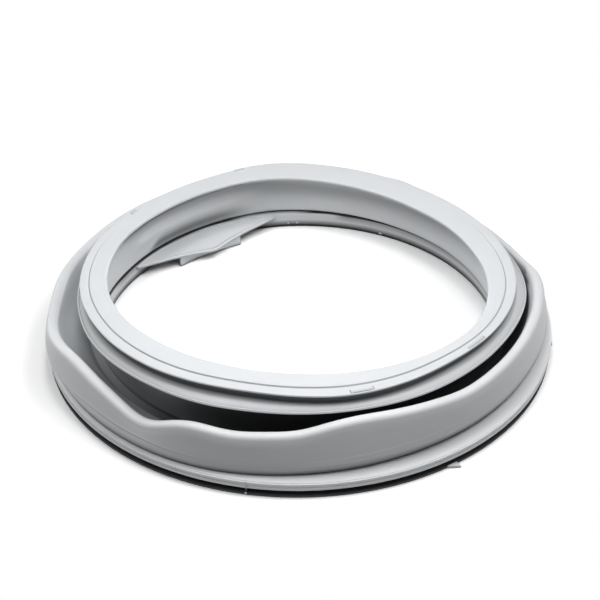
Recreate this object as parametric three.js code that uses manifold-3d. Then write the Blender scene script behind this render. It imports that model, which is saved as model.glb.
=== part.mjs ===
// Door seal of a front loading washing machine, moulded in one piece of grey rubber.
// Millimetres, +Z up. The seal lies on its tub side, the door side is on top.
// The work is in the section: one closed outline in radius and height that is
// worked out anew at each angle, because the rubber sags and the door ring leans.
import * as THREE from 'three';
import { mergeVertices } from 'three/addons/utils/BufferGeometryUtils.js';
import Module from 'manifold-3d';

const DEG = Math.PI / 180;
const TURN_STEPS = 80;

// Base ring that grips the rim of the tub
const BASE_RADIUS = 200;
const BASE_WIDTH = 43;
const BAND_HEIGHT = 13.4;
const FOOT_CHAMFER = 2;
const LOWER_LIP_HEIGHT = 2.5;
const LOWER_LIP_SETBACK = 0.7;
const SLOT_HEIGHT = 4.4;
const SLOT_DEPTH = 10;
const FLANGE_TOP_WIDTH = 7.2;
const FLANGE_TOP_RISE = 1;
const EDGE_ROUND = 0.8;

// Rubber wall of the fold
const WALL = 2.6;
const SLIT_CLEARANCE = 1.5;
const CREST_HALF_WIDTH = 4.6;
const CREST_RADIUS = 188;
const CREST_HEIGHT = 45;
const VALLEY_WIDTH = 8;
const VALLEY_ROUND = 4;
const HEEL_ROUND = 2;
const WALL_UNDERCUT = 2.6;
const OUTER_WALL_BULGE = 1.2;
const INNER_WALL_BULGE = 3;
const INNER_WALL_SETBACK = 2.2;

// Door ring: lip face, raised rim, clamp channel and second flange
const RING_HEIGHT = 62.8;
const RING_LEAN_X = -0.036;
const RING_LEAN_Y = -0.042;
const LIP_WIDTH = 15;
const LIP_THICKNESS = 2.6;
const LIP_ROOT_WIDTH = 5;
const STEP_RADIUS = 160.5;
const STEP_DEPTH = 0.9;
const STEP_WIDTH = 0.5;
const RIM_WIDTH = 8;
const RIM_SLOPE = 0.5;
const RIM_THICKNESS = 1.5;
const CHANNEL_HEIGHT = 6.6;
const CHANNEL_DEPTH = 4.2;
const SECOND_FLANGE_REACH = 15;
const SECOND_FLANGE_THICKNESS = 2.4;
const SECOND_FLANGE_FALL = 1.5;

// How the sagging rubber changes a size round the seal: [angle in degrees, share of the size]
const CREST_HEIGHT_SHARES = [[-170, 0.92], [-150, 1.13], [-134, 0.92], [-126, 0.71], [-115, 1.07],
  [-105, 1.01], [-92, 1.1], [-77, 1.33], [-50, 1.18], [-20, 1.29], [0, 1.17], [14, 0.82], [30, 0.75],
  [52, 0.77], [62, 0.91], [88, 0.98], [120, 0.87], [155, 0.88], [175, 1.06]];
const CREST_RADIUS_SHARES = [[-177, 1.005], [-160, 1.05], [-140, 1.01], [-100, 0.995], [-75, 0.992],
  [-20, 0.995], [0, 0.987], [30, 0.99], [60, 1.002], [88, 1.005], [135, 1], [168, 0.997]];
const CREST_WIDTH_SHARES = [[-160, 1.15], [-120, 0.95], [-30, 0.98], [0, 1.2], [15, 0.85], [90, 1], [140, 1.1]];
const ROOT_SHARES = [[-165, 1.023], [-118, 1.022], [-102, 1.007], [-84, 0.986], [-66, 0.974], [-45, 0.976],
  [-26, 0.988], [-10, 1.008], [5, 1.02], [30, 1.01], [60, 1], [90, 1], [150, 1.01]];
const HEEL_SHARES = [[-180, 1.01], [0, 1], [12, 0.984], [48, 0.981], [62, 0.988], [75, 1.003], [95, 1.024],
  [114, 1.013], [140, 1], [168, 1.01]];
const STEP_SHARES = [[-165, 1.022], [-142, 1.034], [-122, 1.025], [-104, 1.003], [-80, 1.01], [-50, 0.987],
  [-28, 1], [0, 1], [30, 0.991], [47, 0.991], [62, 1], [80, 1.02], [95, 1.036], [108, 1.008], [122, 0.969],
  [142, 0.954], [158, 0.966], [174, 0.99]];
const RIM_WIDTH_SHARES = [[-170, 0.88], [-130, 0.97], [-100, 0.91], [-80, 1.12], [-62, 0.92], [-44, 0.75],
  [-28, 0.78], [-10, 0.98], [8, 1.12], [90, 1.12], [120, 0.94], [160, 0.88]];
const REACH_SHARES = [[-172, 0.67], [-152, 0.89], [-126, 1.01], [-110, 1.2], [-76, 0.95], [-50, 1.08],
  [-28, 0.91], [-4, 1.05], [30, 0.94], [90, 0.93], [150, 0.8]];
const LIP_WIDTH_SHARES = [[-165, 0.91], [-150, 0.93], [-135, 1.05], [-120, 1.07], [-100, 1], [-75, 0.98],
  [-60, 0.75], [-46, 0.54], [-32, 0.54], [-15, 0.79], [0, 1], [15, 1.17], [45, 1.33], [62, 1.33], [95, 1.24],
  [105, 1.11], [114, 0.91], [135, 0.87], [165, 0.84]];

// Deflector flap inside the base band, with an apron that hangs from its edge
const FLAP_ANGLE = 124;
const FLAP_HALF_SPAN = 27;
const FLAP_REACH = 32;
const FLAP_THICKNESS = 2.4;
const FLAP_FALL = 1.4;
const APRON_HALF_SPAN = 12.5;
const APRON_THICKNESS = 2.2;
const APRON_FOOT_REACH = 19;
const APRON_GROUND_CLEARANCE = 0.4;

// Small moulded marks: [angle, half span] in degrees
const RIM_TABS = [[-75, 3], [-38, 3.2], [108, 1.4], [148, 1.4]];
const RIM_TAB_RISE = 0.8;
const RIM_TAB_WIDTH = 3;
const BASE_RIB_ANGLE = -101.3;
const BASE_RIB_SIZE = 1.6;
const BASE_RIB_RISE = 0.4;
const LUG_ANGLE = -57;
const LUG_REACH = 5;
const LUG_LENGTH = 8;
const BUMP_ANGLE = -9.9;
const BUMP_SIZE = 2.2;
// How far a small body is sunk into the ring that carries it
const SINK = 1.2;

const BASE_INNER_RADIUS = BASE_RADIUS - BASE_WIDTH;
const SLOT_TOP = LOWER_LIP_HEIGHT + SLOT_HEIGHT;
const LOWER_LIP_RADIUS = BASE_RADIUS - LOWER_LIP_SETBACK;
const ROOT_RADIUS = BASE_RADIUS - EDGE_ROUND - FLANGE_TOP_WIDTH;

// Smooth curve through the keys [angle in degrees, share], closed after a full turn
function shareAt(keys, angle) {
  const turn = THREE.MathUtils.euclideanModulo(angle / DEG - keys[0][0], 360) + keys[0][0];
  const key = (i) => {
    const lap = Math.floor(i / keys.length);
    const [at, share] = keys[i - lap * keys.length];
    return [at + 360 * lap, share];
  };
  const slope = (i) => (key(i + 1)[1] - key(i - 1)[1]) / (key(i + 1)[0] - key(i - 1)[0]);
  const last = keys.findLastIndex(([at]) => at <= turn);
  const [from, low] = key(last);
  const [to, high] = key(last + 1);
  const span = to - from;
  const t = (turn - from) / span;
  const rising = t * t * (3 - 2 * t);
  return low + (high - low) * rising + span * t * (1 - t) * (slope(last) * (1 - t) - slope(last + 1) * t);
}

// Points on a circle round [r, z], first and last angle in degrees
function arc(r, z, radius, from, to, steps) {
  return Array.from({ length: steps + 1 }, (_, i) => {
    const a = (from + (to - from) * i / steps) * DEG;
    return [r + radius * Math.cos(a), z + radius * Math.sin(a)];
  });
}

// Points inside a cubic Bezier curve, both ends left out
function curveBetween(a, b, c, d, count) {
  return Array.from({ length: count }, (_, i) => {
    const t = (i + 1) / (count + 1);
    const s = 1 - t;
    return [0, 1].map((k) => s * s * s * a[k] + 3 * s * s * t * b[k] + 3 * s * t * t * c[k] + t * t * t * d[k]);
  });
}

// A line of points moved sideways, to its left when the distance is positive
function offsetLine(line, distance) {
  return line.map((point, i) => {
    const before = line[Math.max(i - 1, 0)];
    const after = line[Math.min(i + 1, line.length - 1)];
    const dr = after[0] - before[0];
    const dz = after[1] - before[1];
    const length = Math.hypot(dr, dz);
    return [point[0] - distance * dz / length, point[1] + distance * dr / length];
  });
}

// What changes round the seal
function shapeAt(angle) {
  const ringRadius = STEP_RADIUS * shareAt(STEP_SHARES, angle);
  const rimRadius = ringRadius + STEP_WIDTH + RIM_WIDTH * shareAt(RIM_WIDTH_SHARES, angle);
  const lean = (RING_LEAN_X * Math.cos(angle) + RING_LEAN_Y * Math.sin(angle)) * ringRadius;
  return {
    rootRadius: ROOT_RADIUS * shareAt(ROOT_SHARES, angle),
    crestRadius: CREST_RADIUS * shareAt(CREST_RADIUS_SHARES, angle),
    crestHeight: CREST_HEIGHT * shareAt(CREST_HEIGHT_SHARES, angle),
    crestHalfWidth: CREST_HALF_WIDTH * shareAt(CREST_WIDTH_SHARES, angle),
    heelRadius: BASE_INNER_RADIUS * shareAt(HEEL_SHARES, angle),
    ringRadius,
    rimRadius,
    flangeRadius: ringRadius + SECOND_FLANGE_REACH * shareAt(REACH_SHARES, angle),
    ringHeight: RING_HEIGHT + lean,
    lipRadius: ringRadius - LIP_WIDTH * shareAt(LIP_WIDTH_SHARES, angle),
  };
}

// Base ring from its inner foot, under the slot, up to the top of the flange
function baseOuterSide(shape) {
  const slotEnd = BASE_RADIUS - SLOT_DEPTH;
  return [
    [BASE_INNER_RADIUS, FOOT_CHAMFER],
    [BASE_INNER_RADIUS + FOOT_CHAMFER, FOOT_CHAMFER],
    [BASE_INNER_RADIUS + 2 * FOOT_CHAMFER, 0],
    [LOWER_LIP_RADIUS - EDGE_ROUND, 0],
    [LOWER_LIP_RADIUS, EDGE_ROUND],
    [LOWER_LIP_RADIUS, LOWER_LIP_HEIGHT - EDGE_ROUND / 2],
    [LOWER_LIP_RADIUS - EDGE_ROUND / 2, LOWER_LIP_HEIGHT],
    [slotEnd + SLOT_HEIGHT / 2, LOWER_LIP_HEIGHT],
    [slotEnd, LOWER_LIP_HEIGHT + SLOT_HEIGHT / 2],
    [slotEnd + SLOT_HEIGHT / 2, SLOT_TOP],
    [BASE_RADIUS - EDGE_ROUND / 2, SLOT_TOP],
    [BASE_RADIUS, SLOT_TOP + EDGE_ROUND / 2],
    [BASE_RADIUS, BAND_HEIGHT - EDGE_ROUND],
    [BASE_RADIUS - EDGE_ROUND, BAND_HEIGHT],
    [shape.rootRadius, BAND_HEIGHT + FLANGE_TOP_RISE],
  ];
}

// Middle line of the rubber wall: up the outer wall, over the crest,
// down into the valley and up the inner wall to the door ring
function foldLine(shape) {
  const crestRound = shape.crestHalfWidth - WALL / 2;
  const crestCentre = shape.crestHeight - shape.crestHalfWidth;
  const root = [shape.rootRadius - WALL / 2, BAND_HEIGHT + FLANGE_TOP_RISE + WALL / 4];
  const top = [shape.crestRadius + crestRound, crestCentre];
  const rise = crestCentre - root[1];
  const outerWall = curveBetween(root, [root[0] + WALL_UNDERCUT, root[1] + rise * 0.12],
    [top[0] + OUTER_WALL_BULGE, top[1] - rise * 0.45], top, 3);
  const crest = arc(shape.crestRadius, crestCentre, crestRound, 0, 165, 4);
  const floor = BAND_HEIGHT + SLIT_CLEARANCE + WALL / 2;
  const heel = shape.heelRadius + WALL / 2;
  const valley = arc(heel + VALLEY_WIDTH - HEEL_ROUND, floor + VALLEY_ROUND, VALLEY_ROUND, -20, -90, 2);
  const sideTop = crest[crest.length - 1];
  const valleySide = curveBetween(sideTop, [sideTop[0] - rise * 0.1, sideTop[1] - rise * 0.35],
    [valley[0][0] + rise * 0.2, valley[0][1] + rise * 0.3], valley[0], 2);
  const innerTop = [shape.ringRadius + INNER_WALL_SETBACK, ringFlangeUnderside(shape) - WALL / 2];
  const innerFoot = [heel, floor + HEEL_ROUND];
  const wallHeight = innerTop[1] - innerFoot[1];
  const innerWall = curveBetween(innerFoot, [heel + INNER_WALL_BULGE / 3, innerFoot[1] + wallHeight * 0.3],
    [innerTop[0] + INNER_WALL_BULGE, innerTop[1] - wallHeight * 0.32], innerTop, 3);
  return [
    root,
    ...outerWall,
    ...crest,
    ...valleySide,
    ...valley,
    ...arc(heel + HEEL_ROUND, floor + HEEL_ROUND, HEEL_ROUND, -90, -180, 1),
    ...innerWall,
    innerTop,
  ];
}

function ringFlangeUnderside(shape) {
  const below = STEP_DEPTH + RIM_SLOPE + RIM_THICKNESS + CHANNEL_HEIGHT + SECOND_FLANGE_THICKNESS;
  return shape.ringHeight - below;
}

// Door ring from the root of the second flange round to the lip face
function ringOuterSide(shape) {
  const channelRadius = shape.rimRadius - CHANNEL_DEPTH;
  const rimTop = shape.ringHeight - STEP_DEPTH - RIM_SLOPE;
  const rimUnder = rimTop - RIM_THICKNESS;
  const flangeTop = rimUnder - CHANNEL_HEIGHT;
  const flangeUnder = flangeTop - SECOND_FLANGE_THICKNESS;
  return [
    [shape.flangeRadius - EDGE_ROUND, flangeUnder - SECOND_FLANGE_FALL],
    [shape.flangeRadius, flangeUnder - SECOND_FLANGE_FALL + EDGE_ROUND],
    [shape.flangeRadius - EDGE_ROUND / 2, flangeTop - SECOND_FLANGE_FALL],
    [channelRadius, flangeTop],
    [channelRadius, rimUnder],
    [shape.rimRadius - EDGE_ROUND / 2, rimUnder],
    [shape.rimRadius, rimUnder + EDGE_ROUND / 2],
    [shape.rimRadius - EDGE_ROUND / 2, rimTop],
    [shape.ringRadius + STEP_WIDTH, shape.ringHeight - STEP_DEPTH],
    [shape.ringRadius, shape.ringHeight],
  ];
}

// Free edge of the lip and its underside back to the inner wall
function lipSide(shape) {
  const round = LIP_THICKNESS / 2;
  const under = shape.ringHeight - LIP_THICKNESS;
  return [
    ...arc(shape.lipRadius + round, shape.ringHeight - round, round, 90, 270, 2),
    [shape.ringRadius - LIP_ROOT_WIDTH, under - LIP_THICKNESS / 2],
    [shape.ringRadius - LIP_ROOT_WIDTH / 3, under - LIP_THICKNESS * 1.5],
  ];
}

// The whole closed outline at one angle, the same count of points everywhere
function sectionAt(angle) {
  const shape = shapeAt(angle);
  const line = foldLine(shape);
  const outer = offsetLine(line, -WALL / 2);
  const inner = offsetLine(line, WALL / 2).reverse();
  inner.pop();
  return [
    ...baseOuterSide(shape),
    ...outer.slice(1),
    ...ringOuterSide(shape),
    ...lipSide(shape),
    ...inner,
    [shape.rootRadius - WALL - EDGE_ROUND, BAND_HEIGHT],
    [BASE_INNER_RADIUS + EDGE_ROUND, BAND_HEIGHT],
    [BASE_INNER_RADIUS, BAND_HEIGHT - EDGE_ROUND],
  ];
}

// Triangles between sections that follow each other round the axis
function lofted(sections, angles, closed) {
  const count = sections[0].length;
  const positions = [];
  const index = [];
  sections.forEach((section, i) => section.forEach(([r, z]) => {
    positions.push(r * Math.cos(angles[i]), r * Math.sin(angles[i]), z);
  }));
  const spans = closed ? sections.length : sections.length - 1;
  for (let i = 0; i < spans; i += 1) {
    const here = i * count;
    const there = ((i + 1) % sections.length) * count;
    for (let j = 0; j < count; j += 1) {
      const k = (j + 1) % count;
      index.push(here + j, there + j, there + k, here + j, there + k, here + k);
    }
  }
  if (!closed) {
    const last = (sections.length - 1) * count;
    const outline = sections.map((section) => section.map(([r, z]) => new THREE.Vector2(r, z)));
    THREE.ShapeUtils.triangulateShape(outline[0], []).forEach(([a, b, c]) => index.push(a, b, c));
    const end = THREE.ShapeUtils.triangulateShape(outline[outline.length - 1], []);
    end.forEach(([a, b, c]) => index.push(last + a, last + c, last + b));
  }
  const geometry = new THREE.BufferGeometry();
  geometry.setAttribute('position', new THREE.Float32BufferAttribute(positions, 3));
  geometry.setIndex(index);
  return geometry;
}

// The ring of the seal, closed on itself
function sealRing() {
  const angles = Array.from({ length: TURN_STEPS }, (_, i) => i * 2 * Math.PI / TURN_STEPS);
  return lofted(angles.map(sectionAt), angles, true);
}

// A body with one outline that is bent round the axis, angles in degrees
function bentBody(middle, halfSpan, steps, outlineAt) {
  const turns = Array.from({ length: steps + 1 }, (_, i) => -halfSpan + 2 * halfSpan * i / steps);
  const angles = turns.map((turn) => (middle + turn) * DEG);
  return lofted(turns.map(outlineAt), angles, false);
}

// How far the flap stands in from the band, by degrees from its middle
function flapReach(turn) {
  const share = Math.max(1 - Math.abs(turn) / FLAP_HALF_SPAN, 0);
  return FLAP_REACH * share ** 0.75;
}

function flapShelf() {
  const rootTop = BAND_HEIGHT - EDGE_ROUND;
  return bentBody(FLAP_ANGLE, FLAP_HALF_SPAN * 0.98, 16, (turn) => {
    const reach = flapReach(turn);
    const edge = BASE_INNER_RADIUS - reach;
    const fall = FLAP_FALL * reach / FLAP_REACH;
    const top = rootTop - fall;
    return [
      [BASE_INNER_RADIUS + SINK, rootTop - FLAP_THICKNESS],
      [BASE_INNER_RADIUS + SINK, rootTop],
      [edge + EDGE_ROUND, top],
      [edge, top - FLAP_THICKNESS / 2],
      [edge + EDGE_ROUND, top - FLAP_THICKNESS],
    ];
  });
}

function flapApron() {
  const foot = BASE_INNER_RADIUS - APRON_FOOT_REACH;
  return bentBody(FLAP_ANGLE, APRON_HALF_SPAN, 8, (turn) => {
    const reach = flapReach(turn);
    const edge = BASE_INNER_RADIUS - reach + EDGE_ROUND;
    const top = BAND_HEIGHT - EDGE_ROUND - FLAP_FALL * reach / FLAP_REACH - FLAP_THICKNESS / 2;
    return [
      [foot, APRON_GROUND_CLEARANCE],
      [foot + APRON_THICKNESS, APRON_GROUND_CLEARANCE],
      [edge + APRON_THICKNESS, top],
      [edge, top],
    ];
  });
}

// Low pad on top of the rim, open towards the outer edge
function rimTab(middle, halfSpan) {
  return bentBody(middle, halfSpan, 4, (turn) => {
    const shape = shapeAt((middle + turn) * DEG);
    const edge = shape.rimRadius;
    const z = shape.ringHeight - STEP_DEPTH - RIM_SLOPE;
    return [
      [edge - RIM_TAB_WIDTH, z - RIM_THICKNESS / 2],
      [edge + RIM_TAB_RISE / 2, z - RIM_THICKNESS / 2],
      [edge + RIM_TAB_RISE / 2, z + RIM_TAB_RISE / 2],
      [edge - RIM_TAB_WIDTH, z + RIM_TAB_RISE + RIM_SLOPE * RIM_TAB_WIDTH / RIM_WIDTH],
    ];
  });
}

// Upright rib on the edge of the lower lip and the flange
function baseRib(low, high) {
  const halfSpan = BASE_RIB_SIZE / BASE_RADIUS / 2 / DEG;
  return bentBody(BASE_RIB_ANGLE, halfSpan, 1, () => [
    [LOWER_LIP_RADIUS - SINK, low],
    [BASE_RADIUS + BASE_RIB_RISE, low],
    [BASE_RADIUS + BASE_RIB_RISE, high],
    [LOWER_LIP_RADIUS - SINK, high],
  ]);
}

// Three cornered finger lug on the lower lip
function fingerLug() {
  const halfSpan = LUG_LENGTH / BASE_RADIUS / 2 / DEG;
  return bentBody(LUG_ANGLE, halfSpan, 1, (turn) => {
    const reach = turn > 0 ? LUG_REACH : LUG_REACH * 0.3;
    const height = LOWER_LIP_HEIGHT - EDGE_ROUND / 2;
    return [
      [LOWER_LIP_RADIUS - SINK, EDGE_ROUND / 2],
      [BASE_RADIUS + reach, EDGE_ROUND / 2],
      [BASE_RADIUS + reach, height],
      [LOWER_LIP_RADIUS - SINK, height],
    ];
  });
}

// Small pip on the face of the flange
function flangeBump() {
  const middle = (SLOT_TOP + BAND_HEIGHT) / 2;
  const halfSpan = BUMP_SIZE / BASE_RADIUS / 2 / DEG;
  return bentBody(BUMP_ANGLE, halfSpan, 1, () => [
    [BASE_RADIUS - SINK, middle - BUMP_SIZE / 2],
    [BASE_RADIUS + BUMP_SIZE / 2, middle - BUMP_SIZE / 2],
    [BASE_RADIUS + BUMP_SIZE / 2, middle + BUMP_SIZE / 2],
    [BASE_RADIUS - SINK, middle + BUMP_SIZE / 2],
  ]);
}

function toSolid(wasm, geometry) {
  const merged = mergeVertices(geometry);
  return new wasm.Manifold(new wasm.Mesh({
    numProp: 3,
    vertProperties: new Float32Array(merged.attributes.position.array),
    triVerts: new Uint32Array(merged.index.array),
  }));
}

function fromSolid(solid) {
  const { vertProperties, triVerts } = solid.getMesh();
  const geometry = new THREE.BufferGeometry();
  geometry.setAttribute('position', new THREE.BufferAttribute(new Float32Array(vertProperties), 3));
  geometry.setIndex(new THREE.BufferAttribute(new Uint32Array(triVerts), 1));
  geometry.computeVertexNormals();
  return geometry;
}

function rubber() {
  return new THREE.MeshStandardMaterial({ name: 'grey_rubber', color: 0xb9bec1, roughness: 0.5, metalness: 0 });
}

async function doorSeal() {
  const wasm = await Module();
  wasm.setup();
  const details = [
    flapShelf(),
    flapApron(),
    ...RIM_TABS.map(([middle, halfSpan]) => rimTab(middle, halfSpan)),
    baseRib(EDGE_ROUND, LOWER_LIP_HEIGHT - EDGE_ROUND / 2),
    baseRib(SLOT_TOP + EDGE_ROUND / 2, BAND_HEIGHT - EDGE_ROUND),
    fingerLug(),
    flangeBump(),
  ];
  const whole = details.reduce((solid, geometry) => solid.add(toSolid(wasm, geometry)), toSolid(wasm, sealRing()));
  const mesh = new THREE.Mesh(fromSolid(whole), rubber());
  mesh.name = 'door_seal';
  return mesh;
}

const seal = new THREE.Group();
seal.name = 'washing_machine_door_seal';
seal.add(await doorSeal());

export default seal;
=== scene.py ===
# %% [markdown]
# # A washing machine door seal
# The seal of a front loader is a rubber bellows: a heavy base ring grips the
# rim of the tub, a folded wall lets the tub shake, and a door ring with a soft
# lip meets the glass. It is moulded in one piece, so we model one closed skin.
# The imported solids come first, because every new surface has to sit on them.

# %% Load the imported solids
import math

import bpy
import numpy as np
from mathutils import Matrix


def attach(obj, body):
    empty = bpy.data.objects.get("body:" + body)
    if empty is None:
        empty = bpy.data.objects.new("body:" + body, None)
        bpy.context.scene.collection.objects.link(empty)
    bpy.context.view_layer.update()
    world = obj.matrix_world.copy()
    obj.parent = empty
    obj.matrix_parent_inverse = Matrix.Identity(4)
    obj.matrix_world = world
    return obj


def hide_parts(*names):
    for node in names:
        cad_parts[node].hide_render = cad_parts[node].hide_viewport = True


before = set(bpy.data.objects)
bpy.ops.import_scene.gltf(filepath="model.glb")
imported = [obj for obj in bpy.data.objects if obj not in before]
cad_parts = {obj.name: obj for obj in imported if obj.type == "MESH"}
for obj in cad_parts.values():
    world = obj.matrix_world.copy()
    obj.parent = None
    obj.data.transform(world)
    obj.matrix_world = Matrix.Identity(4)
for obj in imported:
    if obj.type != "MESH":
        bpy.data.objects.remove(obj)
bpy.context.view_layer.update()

MM = 0.001

# %% [markdown]
# ## The camera
# The rings are circles, so their ellipses in the photograph give the view: a
# 96 mm lens, 1.27 m away and 35 degrees above the floor. We place it first,
# because all proportions are judged from here. A matrix built from the three
# directions of the camera is easier to check than three turns about axes.

# %% Place the camera
ELEVATION = math.radians(34.93)
DISTANCE = 1.2705
LENS, SENSOR = 96.0, 36.0
TARGET = np.array([0.0006, 0.0, 0.0305])
ROLL = math.radians(-0.64)


def camera_axes(elevation, roll):
    """Right, up and back of a camera that looks along +Y and down. Roll turns it about its own axis."""
    back = np.array([0.0, -math.cos(elevation), math.sin(elevation)])
    side = np.array([1.0, 0.0, 0.0])
    rise = np.cross(back, side)
    right = math.cos(roll) * side + math.sin(roll) * rise
    up = math.cos(roll) * rise - math.sin(roll) * side
    return right, up, back


right, up, back = camera_axes(ELEVATION, ROLL)
camera = bpy.data.objects.new("camera", bpy.data.cameras.new("camera"))
camera.data.lens = LENS
camera.data.sensor_width = SENSOR
camera.data.clip_end = 50.0
placed = np.eye(4)
placed[:3, 0], placed[:3, 1], placed[:3, 2] = right, up, back
placed[:3, 3] = TARGET + back * DISTANCE
camera.matrix_world = Matrix(placed.tolist())
bpy.context.scene.collection.objects.link(camera)
bpy.context.scene.camera = camera
print("camera at", placed[:3, 3].round(3))

# %% [markdown]
# ## What changes round the seal
# Soft rubber never lies quite round. The crest of the fold rises and dips, and
# the lip wanders in and out. A sum of waves could follow that, but nobody can
# read it. So we note each size in millimetres at a few angles (0 is right, 90
# is the far side) and let a smooth closed curve run through them.

# %% Smooth sizes round the ring
TURN = 360
ANGLE = np.linspace(-180.0, 180.0, TURN, endpoint=False)


def round_the_ring(keys, soften=3.0):
    """Size at every angle of the grid: straight lines between the keys, then
    blurred with a bell curve of the given width in degrees, closed on itself."""
    at, size = np.array(keys, float).T
    raw = np.interp(ANGLE, at, size, period=360.0)
    waves = np.fft.rfftfreq(TURN, 1.0 / TURN)
    kept = np.exp(-0.5 * (waves * math.radians(soften)) ** 2)
    return np.fft.irfft(np.fft.rfft(raw) * kept, TURN)


def at_angle(values, degrees):
    """A size of the grid at any other angles."""
    return np.interp(degrees, ANGLE, values, period=360.0)


print("grid of", TURN, "angles")

# %% [markdown]
# The crest is the top edge of the fold. The root is where its outer wall leaves
# the flange, and the foot is where its inner wall turns up from the base band.

# %% Sizes of the fold
crest_height = round_the_ring([
    (-170, 41.5), (-160, 46), (-150, 51), (-143, 47), (-134, 41.5), (-126, 31.5), (-120, 42),
    (-115, 48), (-105, 44.6), (-97, 47.8), (-90, 48.8), (-84, 56.2), (-77, 59.4), (-70, 58),
    (-60, 55.5), (-50, 51.6), (-40, 53.5), (-30, 55), (-20, 57), (-10, 54), (0, 52), (8, 43.5),
    (14, 37), (23, 34), (45, 33), (53, 34.5), (60, 41), (75, 39), (88, 44), (100, 43.5),
    (110, 41), (120, 39), (155, 39.5), (165, 42.5), (175, 48)])
crest_radius = round_the_ring([
    (-177, 189), (-170, 194), (-160, 197.5), (-150, 192.5), (-140, 190), (-125, 190),
    (-115, 187.5), (-100, 187), (-75, 186.5), (-60, 187), (-20, 187.6), (0, 186.4), (15, 186.5),
    (45, 186), (60, 188.5), (88, 189), (110, 188.5), (160, 188), (170, 187)], 5.0)
crest_half = round_the_ring([
    (-180, 4.9), (-160, 5.3), (-140, 5.2), (-120, 4.4), (-50, 4.4), (-30, 4.2), (0, 5.2),
    (15, 3.8), (90, 4.6), (140, 5)], 6.0)
root_radius = round_the_ring([
    (-180, 196), (-167, 198), (-156, 196.5), (-120, 196.5), (-114, 196), (-108, 195),
    (-102, 193.5), (-96, 192), (-90, 190.5), (-84, 189.5), (-78, 188.5), (-66, 186.6),
    (-52, 186.4), (-40, 187), (-26, 188.3), (-18, 190.3), (-9, 192.6), (0, 195.4), (15, 196),
    (30, 194), (60, 192), (90, 192), (150, 194)])
foot_radius = round_the_ring([
    (-180, 158.5), (-90, 157.5), (0, 157), (10, 154.5), (24, 154), (48, 154), (60, 155),
    (75, 157.5), (84, 159), (91, 160), (98, 161), (106, 160), (114, 159), (122, 158),
    (132, 157.5), (151, 157), (168, 158.5)])
print("crest from %.1f to %.1f mm high" % (crest_height.min(), crest_height.max()))

# %% [markdown]
# The door ring is not quite round either. Its edges are read from the picture
# once it is unrolled along the plane of the ring, which leans to the rear right.

# %% Sizes of the door ring
ring_radius = round_the_ring([
    (-180, 160.5), (-172, 162.5), (-165, 164), (-156, 165), (-142, 166), (-130, 165.5),
    (-122, 164.5), (-115, 163), (-106, 161), (-97, 161), (-80, 162), (-72, 161.5), (-62, 160),
    (-53, 158.5), (-45, 158.5), (-36, 159.5), (-28, 160.5), (-9, 161), (0, 160.5), (15, 159.5),
    (30, 159), (45, 159), (60, 160.5), (75, 163), (84, 164.5), (91, 166), (99, 166),
    (105, 163.5), (110, 160), (115, 157.5), (122, 155.5), (135, 153.5), (148, 153), (158, 155),
    (165, 157), (173, 159)])
rim_width = round_the_ring([
    (-180, 7), (-156, 7.3), (-130, 7.8), (-100, 7.3), (-80, 9), (-62, 7.4), (-44, 6), (-28, 6.2),
    (-10, 7.8), (5, 9), (90, 9), (120, 7.5), (160, 7)])
flange_reach = round_the_ring([
    (-180, 10), (-168, 10.2), (-160, 11.5), (-152, 13.4), (-144, 14.2), (-126, 15.2),
    (-118, 17), (-110, 18), (-101, 17), (-92, 16), (-84, 15), (-76, 14.2), (-66, 15), (-56, 16),
    (-48, 15.4), (-38, 14.3), (-28, 13.4), (-18, 15), (-8, 17), (0, 18), (10, 17), (30, 14.5),
    (90, 14), (150, 12)])
lip_radius = round_the_ring([
    (-180, 147), (-165, 150.5), (-150, 151.5), (-135, 150), (-120, 148), (-105, 146),
    (-90, 146), (-75, 147), (-60, 148.5), (-45, 150.5), (-33, 152), (-24, 151), (-15, 149),
    (0, 145.5), (15, 142), (30, 140.5), (45, 139), (60, 140.5), (75, 143.5), (90, 147),
    (102, 147.5), (112, 145), (120, 142.5), (135, 140.5), (145, 140.5), (155, 142),
    (165, 144.5), (173, 145.5)])

# Height of the ring's plane at its middle, and how much it falls per millimetre to +X and +Y
RING_HEIGHT, LEAN_X, LEAN_Y = 62.8, -0.036, -0.042
lean = LEAN_X * np.cos(np.radians(ANGLE)) + LEAN_Y * np.sin(np.radians(ANGLE))
ring_height = RING_HEIGHT + ring_radius * lean
print("step radius from %.1f to %.1f mm" % (ring_radius.min(), ring_radius.max()))

# %% [markdown]
# ## Drawing a section as arrays
# One outline in radius and height is worked out for all angles at once: each
# point of it is an array over the angles. Corners get a small curve, because a
# mould has no sharp edges and because a rounded edge catches the light. A bevel
# modifier could round them too, but it would take every corner alike.

# %% Points and curves


def point(radius, height):
    """One outline point for all angles, from numbers or from arrays over the angles."""
    parts = np.broadcast_arrays(radius, height, np.zeros(TURN))
    return np.stack(parts[:2], -1).astype(float)


def length_of(steps):
    """Length of each step in radius and height."""
    return np.linalg.norm(steps, axis=-1, keepdims=True)


def bend(a, b, c, d, count, with_last=False):
    """Cubic curve from a to d pulled towards b and c, without its first point:
    (1-t)^3 a + 3 (1-t)^2 t b + 3 (1-t) t^2 c + t^3 d."""
    t = np.linspace(0, 1, count + 2)[1: None if with_last else -1, None, None]
    return (1 - t) ** 3 * a + 3 * (1 - t) ** 2 * t * b + 3 * (1 - t) * t ** 2 * c + t ** 3 * d


def swing(centre, radius, start, stop, count, square=1.0):
    """Points on a circle about centre, from one angle to another in degrees. A
    power below 1 of the cosine and sine makes the circle squarer."""
    turn = np.radians(np.linspace(start, stop, count))[:, None]
    across = np.sign(np.cos(turn)) * np.abs(np.cos(turn)) ** square
    along = np.sign(np.sin(turn)) * np.abs(np.sin(turn)) ** square
    return centre + np.stack([across * radius, along * radius], -1)


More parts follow.
